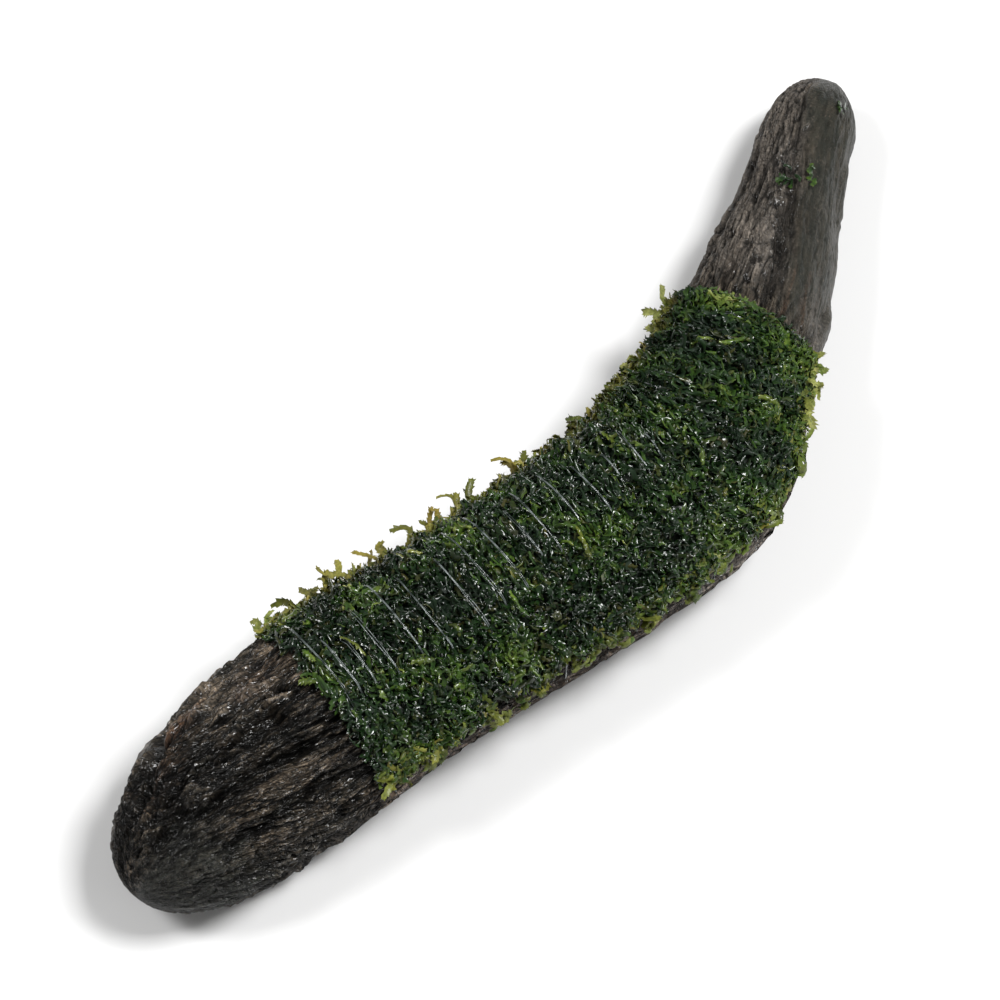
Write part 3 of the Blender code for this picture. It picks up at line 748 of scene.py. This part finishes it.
def grow_ribbons(rng, paths, normals, half_width, tone, ochre, curled=0.9, notch=LOBE_NOTCH):
    """Fronds as lobed ribbons whose margins curl towards the normals. Returns their points, five
    across each of the nodes, and the points' colours."""
    count, nodes = paths.shape[:2]
    ahead, up, side = directions(paths, normals)
    t = np.linspace(0, 1, nodes)
    taper = np.interp(t, (0, 0.2, 0.8, 1), (0.6, 1, 1, 0.5))
    curl = rng.normal(curled, 0.5 * curled, (count, 1)) + rng.normal(0, 0.28 * curled, (count, nodes))
    points, tones = [], []
    for way in (1, -1):
        notched = rng.uniform(*notch, (count, nodes))
        lobed = np.where((np.arange(nodes) + (way > 0)) % 2 == 0, 1, notched)
        width = half_width[:, None] * taper * lobed * rng.uniform(0.75, 1.25, (count, nodes)) * MM
        forward = 0.5 * width * (lobed == 1)
        lean = 0.25 * curl * rng.uniform(0.5, 1.5, (count, nodes))
        bent = curl * rng.uniform(0.7, 1.4, (count, nodes))
        inner = reached(paths, side * way, up, 0.55 * width, lean)
        outer = reached(inner, side * way, up, 0.45 * width, bent)
        points.append((inner, outer + forward[..., None] * ahead))
        tones.append(0.06 * (lobed == 1) - 0.01)
    across = (points[1][1], points[1][0], paths, points[0][0], points[0][1])
    paler = np.interp(t, (0, 0.5, 1), (-0.16, 0, 0.1))
    frond_tone = tone[:, None] + paler + rng.normal(0, 0.04, (count, nodes))
    edges = (tones[1], 0, -0.04, 0, tones[0])
    shown = np.clip(np.stack([frond_tone + edge for edge in edges], axis=2), 0, 1)
    ochres = np.broadcast_to(ochre[:, None, None], shown.shape)
    return np.stack(across, axis=2), greens(shown, ochres)


def rolled(normals, paths, roll):
    """Normals turned about their frond by roll, which has one row for each frond."""
    ahead = unit(np.gradient(paths, axis=1))
    side = np.cross(normals, ahead)
    return normals * np.cos(roll)[..., None] + side * np.sin(roll)[..., None]


def laid(rng, xs, angles, lift, roll):
    """The paths of fronds, and their normals, each frond rolled by chance."""
    paths = on_wood(xs, angles, lift)
    return paths, rolled(inward(xs, angles), paths, rng.normal(0, roll, (len(xs), 1)))


def drawn_back(rows, least, most):
    """Rows moved as far as it takes to keep each between its least and most."""
    over = np.maximum(0, rows.max(1) - most) - np.maximum(0, least - rows.min(1))
    return rows - over[:, None]


def mass_of_fronds(rng):
    """The tangle that makes up the mat."""
    count = FROND_COUNT
    along = rng.uniform(-47, 35.6, count)
    inner, outer = moss_edges(turn_at(along, 90))
    angle = inner + rng.uniform(0, 1, count) * (outer - inner)
    x = skewed(along, angle)
    heading = rng.uniform(0, 2 * math.pi, count)
    bend = rng.normal(0, 2.4, count)
    length = rng.uniform(*FROND_LENGTH, count)
    xs, angles = frond_places(x, angle, heading, bend, length, centred=True)
    # A frond that would run off the mat's ends or rims is drawn back over it
    xs = drawn_back(xs, -47.9, 36.6)
    angles = drawn_back(angles, inner - 4, outer - 1)
    t = np.linspace(0, 1, FROND_NODES)
    soft = outer_bend(x, angle)
    depth = rng.uniform(0.3 + 0.4 * soft, 1) ** 0.6
    held = depth[:, None] * np.interp(t, (0, 0.3, 1), (0.55, 0.9, 1))
    crossing = rng.random(count) < 0.15 + 0.4 * ramp(x, 2, 12)
    tip_rise = rng.uniform(0, 0.7, count) * (depth > 0.75)
    lift = 0.25 + (mat_top(xs, angles) - 0.25) * held
    lift += crossing[:, None] * 0.35 + tip_rise[:, None] * t ** 3
    phase, waves = rng.uniform(0, 6.3, (count, 1)), rng.uniform(3, 8, (count, 1))
    lift += FROND_WAVE * np.sin(phase + waves * t)
    paths = on_wood(xs, angles, lift)
    roll, twist = rng.normal(0, 0.6, (count, 1)), rng.normal(0, FROND_TWIST, (count, 1))
    normals = rolled(inward(xs, angles), paths, roll + twist * (t - 0.5))
    sheet = x, angle * 0.21, 50
    patch = 0.8 * flat_noise(*sheet, 8) + 0.6 * flat_noise(*sheet, 3)
    wavering = angle + 10 * flat_noise(*sheet, 4, 27)
    crest = band(wavering, -6, 14, 26, 46)
    near_lit_rim = np.maximum(0.8 * ramp(angle, outer - 18, outer), 1.6 * crest)
    here = unrolled(x, angle)
    clumps = sum(gain * np.exp(-np.sum((here - unrolled(*place)) ** 2, -1) / reach ** 2)
                 for *place, reach, gain in BRIGHT_CLUMPS)
    elbow = np.maximum(ramp(x, 16, 26) * ramp(angle, 90, 150),
                       0.7 * ramp(x, 6, 14) * ramp(angle, 105, 140))
    # Painted light: leaves near the outer rim and along the crest are painted brighter, like thin leaves
    # with light shining through them; the ochre added there is their own colour.
    tone = 0.2 + 0.47 * patch * (1 + 0.4 * soft) + 0.2 * near_lit_rim + 0.1 * elbow + clumps
    tone += rng.normal(0, 0.07, count) * (1 - 0.5 * soft) + 0.05 * soft
    tone += (rng.random(count) < 0.05) * 0.3
    # Painted shade: fronds that lie deeper in the mat are painted darker.
    tone = np.clip(tone, 0, 0.9) * (0.45 + 0.55 * depth)
    ochre = np.clip(rng.normal(-0.08, 0.12, count) + 0.08 * near_lit_rim + 0.3 * crest, 0, 0.7)
    half_width = rng.uniform(*FROND_HALF_WIDTH, count)
    return grow_ribbons(rng, paths, normals, half_width, tone, ochre)


def rim_fronds(rng):
    """Short tufts that lift off along both rims of the mat, painted bright like thin leaves with light
    shining through them.
    """
    count = RIM_FROND_COUNT
    turn = rng.uniform(-0.8, 20.8, count)
    side = rng.integers(0, 2, count)
    inner, outer = moss_edges(turn)
    inside = side == 0
    angle = np.where(inside, inner + rng.uniform(0, 42, count), outer - rng.uniform(2, 18, count))
    along = np.interp(turn, np.arange(len(TURN_X)), TURN_X)
    heading = np.where(inside, -math.pi / 2, math.pi / 2) + rng.normal(0, 0.9, count)
    length = rng.uniform(1.4, 2.6, count)
    bend = rng.normal(0, 1.2, count)
    xs, angles = frond_places(skewed(along, angle), angle, heading, bend, length)
    t = np.linspace(0, 1, FROND_NODES)
    rise = np.where(inside, rng.uniform(0.2, 1.3, count), rng.uniform(0.1, 0.8, count))
    lift = np.minimum(mat_top(xs, angles), 1.9) * 0.85 + rise[:, None] * t ** 1.5
    paths, normals = laid(rng, xs, angles, lift, 0.8)
    # Painted light: the tufts' tone is painted bright, brighter still on the inner rim, while painted
    # shade darkens those right at the inner edge.
    shaded = 0.34 * inside * (1 - ramp(angle, -2, 18))
    tone = 0.56 + 0.12 * inside + 0.4 * flat_noise(turn * 2.3, 9 * side, 3) - shaded
    tone = np.clip(tone + rng.normal(0, 0.1, count), 0.15, 0.92)
    ochre = np.clip(rng.normal(0.15, 0.15, count) + 0.25 * inside, 0, 0.8)
    return grow_ribbons(rng, paths, normals, rng.uniform(0.4, 0.7, count), tone, ochre)


def standing_fronds(rng):
    """The fronds named in STANDING, each a curling stem with leaves, out of the mat."""
    rows = np.array(STANDING, float)
    # Beside each row stands a shorter frond that leans the other way
    spread_out = rng.normal(0, 1, rows.shape) * (0.7, 2, 0.2, 0.3, 0, 0)
    beside = rows * (1, 1, 0.75, -0.6, 0.92, 1) + spread_out
    x, angle, height, lean, tone, ochre = np.concatenate((rows, beside)).T
    t = np.linspace(0, 1, STANDING_NODES)
    sway = rng.normal(0, 0.5, len(x))
    xs = x[:, None] + 1.3 * lean[:, None] * t ** 1.6 + 0.5 * np.sin(5 * t + sway[:, None] * 6)
    out = np.where(angle < 90, -1, 1)
    angles = angle[:, None] + out[:, None] * 3 * t ** 2 + sway[:, None] * 5 * t
    lift = 0.6 + (height[:, None] - 0.6 - 0.2) * np.sin(t * 1.45) / math.sin(1.45)
    paths = on_wood(xs, angles, lift)
    straight_up = np.broadcast_to(np.array((0, 0, 1)), paths.shape)
    normals = rolled(straight_up, paths, rng.normal(0, 0.5, (len(x), 1)))
    half_width = rng.uniform(0.45, 0.72, len(x))
    return grow_ribbons(rng, paths, normals, half_width, tone + 0.04, 0.9 * ochre,
                        curled=0.35, notch=(0.55, 0.85))


def lobe_fronds(rng):
    """The lobes named in RIM_LOBES, each some broad fronds that fold over one another."""
    lobes = np.repeat(np.array(RIM_LOBES, float), LOBE_FRONDS, axis=0)
    count = len(lobes)
    x, angle, tone = lobes.T
    heading = rng.uniform(0, 2 * math.pi, count)
    length = rng.uniform(1, 1.9, count)
    x = x + rng.normal(0, 0.45, count)
    angle = angle + degrees_round(rng.normal(0, 0.35, count))
    xs, angles = frond_places(x, angle, heading, rng.normal(0, 1, count), length, centred=True)
    lift = rng.uniform(0.7, 2.1, (count, 1)) + 0.3 * np.sin(math.pi * np.linspace(0, 1, FROND_NODES))
    paths, normals = laid(rng, xs, angles, lift, 0.5)
    tone = tone + rng.normal(0, 0.06, count)
    half_width, ochre = rng.uniform(0.5, 0.8, count), rng.uniform(0, 0.28, count)
    return grow_ribbons(rng, paths, normals, half_width, tone, ochre)


def lying_fronds(rng):
    """The pale fronds named in LYING_ON_TOP."""
    x, angle, heading, length, tone, ochre = np.array(LYING_ON_TOP, float).T
    bend = rng.normal(0, 0.5, len(x))
    xs, angles = frond_places(x, angle, np.radians(heading), bend, length, STANDING_NODES)
    t = np.linspace(0, 1, STANDING_NODES)
    lift = mat_top(xs, angles) + 0.15 + 0.3 * np.sin(math.pi * t)
    paths, normals = laid(rng, xs, angles, lift, 0.25)
    return grow_ribbons(rng, paths, normals, rng.uniform(0.5, 0.7, len(x)), tone, ochre)


def add_ribbons(name, material, points, colours, node="moss_mat"):
    """Adds ribbons joined into one mesh, each with its own strip of the UV map."""
    count, nodes, across = points.shape[:3]
    side = math.ceil(math.sqrt(count))
    cell = np.stack((np.arange(count) % side, np.arange(count) // side), -1)[:, None, None]
    strip = np.meshgrid(np.linspace(0.05, 0.95, nodes), np.linspace(0.1, 0.9, across), indexing="ij")
    uvs = (cell + np.stack(strip, -1)) / side
    add_piece(name, node, "moss", material, points, grid_triangles(count, nodes, across), uvs,
              tone=colours)


def moss_material(name, gloss, rough):
    """Leaves, each in the tone of its points, under a film of water."""
    material, tree, shader = new_material(
        name, coat_weight=gloss, coat_roughness=0.05, coat_ior=1.34, specular_ior_level=0.15)
    place = add_node(tree, "TexCoord", output="Object")
    cells, clumps = noisy(tree, place, 2600, 3), noisy(tree, place, 260, 3)
    colour = mixed(tree, spread(tree, cells, 0.35, 0.65, 0, 0.45),
                   attribute(tree, "tone", "Vector"), (0.004, 0.009, 0.004))
    colour = mixed(tree, spread(tree, clumps, 0.4, 0.65, 0, 0.35), colour, (0.006, 0.013, 0.009))
    plug(tree, shader, base_color=colour, normal=bumped(tree, cells, 0.00005, 0.3),
         roughness=spread(tree, clumps, 0.35, 0.65, rough, rough + 0.18))
    return material


def make_moss(rng, wet, damp):
    """All the fronds of the mat, in pieces along the stick, with fewer shining ones at the bend."""
    points, colours = mass_of_fronds(rng)
    along = points[:, 0, 0, 0] / MM
    dull = rng.random(len(along)) < 0.75 * ramp(along, 6, 22) + 0.05
    for look, material, chosen in (("wet", wet, ~dull), ("damp", damp, dull)):
        chosen = np.flatnonzero(chosen)
        chosen = chosen[np.argsort(along[chosen], kind="stable")]
        pieces = math.ceil(len(chosen) / FRONDS_PER_PIECE)
        for number, share in enumerate(np.array_split(chosen, pieces), 1):
            add_ribbons(f"moss_{look}_{number}", material, points[share], colours[share])
    add_ribbons("moss_rims", damp, *rim_fronds(rng))
    add_ribbons("moss_lobes", damp, *lobe_fronds(rng))
    add_ribbons("moss_standing", damp, *standing_fronds(rng))
    add_ribbons("moss_lying", wet, *lying_fronds(rng))


def make_felt(material):
    """The matted stems under the leaves, as a dark sheet that closes the mat; its near-black tone is
    partly the stems' own and partly painted shade deep in the mat.
    """
    turn, share = np.meshgrid(np.linspace(FELT_FROM, FELT_TO, FELT_GRID[0]),
                              np.linspace(0, 1, FELT_GRID[1]), indexing="ij")
    inner, outer = moss_edges(turn)
    angle = inner - 2 + share * (outer - inner + 4)
    x = skewed(np.interp(turn, *turns_past_ends(1)), angle)
    rim = band(share, 0, 0.05, 0.95, 1) * band(turn, FELT_FROM, FELT_FROM + 0.6, FELT_TO - 0.6, FELT_TO)
    rough = flat_noise(x, angle * 0.21, 0, 0.8)
    lift = (mat_top(x, angle) * 0.35 + 0.25 * rough) * rim - 0.4 * (1 - rim)
    # Painted shade: the sheet's near-black tone stands partly for the shade deep in the mat.
    tone = greens(0.05 + 0.1 * rough, np.zeros_like(rough))
    uvs = np.stack(((turn - FELT_FROM) / 22, share), -1)
    add_piece("moss_felt", "moss_mat", "moss", material, on_wood(x, angle, lift),
              grid_triangles(*x.shape), uvs, tone=tone)


def make_scraps(rng, material):
    """The loose scraps on the short arm, each a few tangled fronds."""
    count = SCRAP_FRONDS
    for number, ((x, angle), (along, across, out), tone) in enumerate(SCRAPS, 1):
        heading = rng.uniform(0, 2 * math.pi, count)
        start_x = x + rng.uniform(-0.35, 0.35, count) * along
        start_angle = angle + degrees_round(rng.uniform(-0.35, 0.35, count) * across)
        length = rng.uniform(0.6, 1.1, count) * along
        xs, angles = frond_places(start_x, start_angle, heading, rng.normal(0, 1, count), length, 5)
        lift = coarse_relief(xs, angles) + 0.3 + rng.uniform(0, 1, (count, 1)) * out
        paths, normals = laid(rng, xs, angles, lift, 0.5)
        tones, half_width = tone + rng.normal(0, 0.05, count), np.full(count, 0.45)
        ribbons = grow_ribbons(rng, paths, normals, half_width, tones, np.zeros(count))
        add_ribbons(f"loose_scrap_{number}", material, *ribbons, f"moss_scrap_{number}")


# Thread

def tube(points, normals, radius, sides):
    """A round tube along points, capped at both ends."""
    _, up, side = directions(points, normals)
    turn = np.linspace(0, 2 * math.pi, sides, endpoint=False)[:, None]
    ring = up[:, None] * np.cos(turn) - side[:, None] * np.sin(turn)
    corners = (points[:, None] + ring * radius).reshape(-1, 3)
    first, last = len(corners), len(corners) + 1
    near, far = np.arange(sides), np.arange(first - sides, first)
    caps = [np.stack((np.full(sides, first), np.roll(near, -1), near), -1),
            np.stack((np.full(sides, last), far, np.roll(far, -1)), -1)]
    triangles = np.concatenate((grid_triangles(len(points), sides, closed=True)[:, ::-1], *caps))
    return np.concatenate((corners, points[:1], points[-1:])), triangles


def make_thread():
    """The nylon thread, turn by turn: on the moss where it shows, and sunk into it elsewhere."""
    steps = np.arange(len(TURN_X) * STEPS_PER_TURN - STEPS_LEFT_OFF)
    turn, step = np.divmod(steps, STEPS_PER_TURN)
    angle = TURN_START + 360 * step / STEPS_PER_TURN
    wrapped = folded(angle)
    # The thread moves on to its next turn along the underside
    turns = turn + ramp(angle, UNDERSIDE_FROM, TURN_START + 360)
    x = skewed(profile(list(zip(*turns_past_ends(1))), turns), angle)
    lift = profile(THREAD_ROUTE, wrapped) - pressed(x, wrapped) * ramp(wrapped, -20, 5)
    on_moss = band(wrapped, -5, 15, 150, 165)
    fine, _ = fine_relief(x, angle, grain_places(x, angle))
    in_grain = 0.03 + 0.12 * band(wrapped, 158, 168, 204, 214)
    wood = coarse_relief(*raggedly(x, angle)) + fine * (1 - on_moss)
    lift = np.maximum(lift, wood - in_grain)
    wave = flat_noise(turn * 7.7, angle / 16, 0)
    x = x + 0.12 * flat_noise(turn * 3.3, angle / 40, 1) * on_moss
    shown_from, shown_to = np.array(THREAD_SHOWS, float)[turn].T
    shows = band(wrapped, shown_from - SHOWS_FADE, shown_from, shown_to, shown_to + SHOWS_FADE)
    lift = lift + on_moss * (0.25 * wave + 0.12 - THREAD_SUNK * (1 - shows))
    parting = ramp(flat_noise(turn * 5.1, angle / 30, 4), 0, 0.5)
    apart = FILAMENTS_APART + FILAMENTS_PART_BY * parting
    share = np.repeat(steps / len(steps), FILAMENT_SIDES) * len(TURN_X)
    around = np.tile(np.arange(FILAMENT_SIDES) / FILAMENT_SIDES, len(steps))
    parts = []
    for number, way in enumerate((-0.5, 0.5)):
        points = on_wood(x + way * apart, angle, lift + 0.1 * way * wave)
        made, faces = tube(points, inward(x, angle), FILAMENT_DIAMETER / 2 * MM, FILAMENT_SIDES)
        row = (np.floor(share) + 0.5 * number + around * 0.4) / len(TURN_X)
        uvs = np.stack((share % 1, row), -1)
        parts.append((made, faces + number * len(made), np.concatenate((uvs, uvs[:1], uvs[-1:]))))
    add_piece("nylon_thread", "binding_thread", "nylon", nylon_material(),
              *map(np.concatenate, zip(*parts)))


def nylon_material():
    """Clear nylon with a film of water."""
    material, tree, shader = new_material(
        "clear_nylon", transmission_weight=0.35, ior=1.53, coat_weight=0.7, coat_roughness=0.12)
    film = noisy(tree, add_node(tree, "TexCoord", output="Object"), 700, 3)
    colour = mixed(tree, spread(tree, film, 0.4, 0.6), (0.03, 0.042, 0.038), (0.2, 0.23, 0.225))
    plug(tree, shader, base_color=colour, normal=bumped(tree, film, 0.00004, 0.15),
         roughness=spread(tree, film, 0.35, 0.65, 0.1, 0.28))
    return material


# Floor, lights and camera

def make_stage():
    """A pale floor under an even sky."""
    bpy.ops.mesh.primitive_plane_add(size=FLOOR_SIZE, location=(0, 0, FLOOR_Z))
    floor = bpy.context.object
    floor.name = "pale_floor"
    material, _, _ = new_material("pale_floor", base_color=FLOOR_COLOUR, roughness=FLOOR_ROUGHNESS)
    floor.data.materials.append(material)
    world = bpy.data.worlds.new("studio")
    world.use_nodes = True
    background = world.node_tree.nodes["Background"]
    background.inputs["Color"].default_value = SKY_COLOUR
    background.inputs["Strength"].default_value = SKY_STRENGTH
    bpy.context.scene.world = world


def aim(name, data, target, azimuth, elevation, distance):
    """Adds a light or camera that looks at target from an azimuth and elevation in degrees."""
    a, e = math.radians(azimuth), math.radians(elevation)
    added = bpy.data.objects.new(name, data)
    back = np.array((math.sin(a) * math.cos(e), -math.cos(a) * math.cos(e), math.sin(e)))
    added.location = np.array(target) + back * distance
    added.rotation_euler = (math.pi / 2 - e, 0, a)
    bpy.context.scene.collection.objects.link(added)
    return added


def make_lights():
    for name, azimuth, elevation, size, power in LIGHTS:
        light = bpy.data.lights.new(name, "AREA")
        light.shape, light.size, light.energy = "SQUARE", size, power
        aim(name, light, (0, 0, 0), azimuth, elevation, LIGHT_DISTANCE)


def make_camera():
    data = bpy.data.cameras.new("camera")
    data.lens, data.sensor_width = LENS, SENSOR
    data.clip_start = 0.01
    bpy.context.scene.camera = aim("camera", data, CAMERA_AIM, CAMERA_AZIMUTH, CAMERA_ELEVATION,
                                   CAMERA_DISTANCE)


def main():
    rng = np.random.default_rng(SEED)
    make_camera()
    make_stage()
    make_lights()
    wet, damp = moss_material("wet_moss", 0.95, 0.24), moss_material("damp_moss", 0.15, 0.42)
    make_wood()
    make_moss(rng, wet, damp)
    make_felt(damp)
    make_scraps(rng, wet)
    make_thread()
    bpy.context.scene.view_settings.view_transform = "Standard"


main()
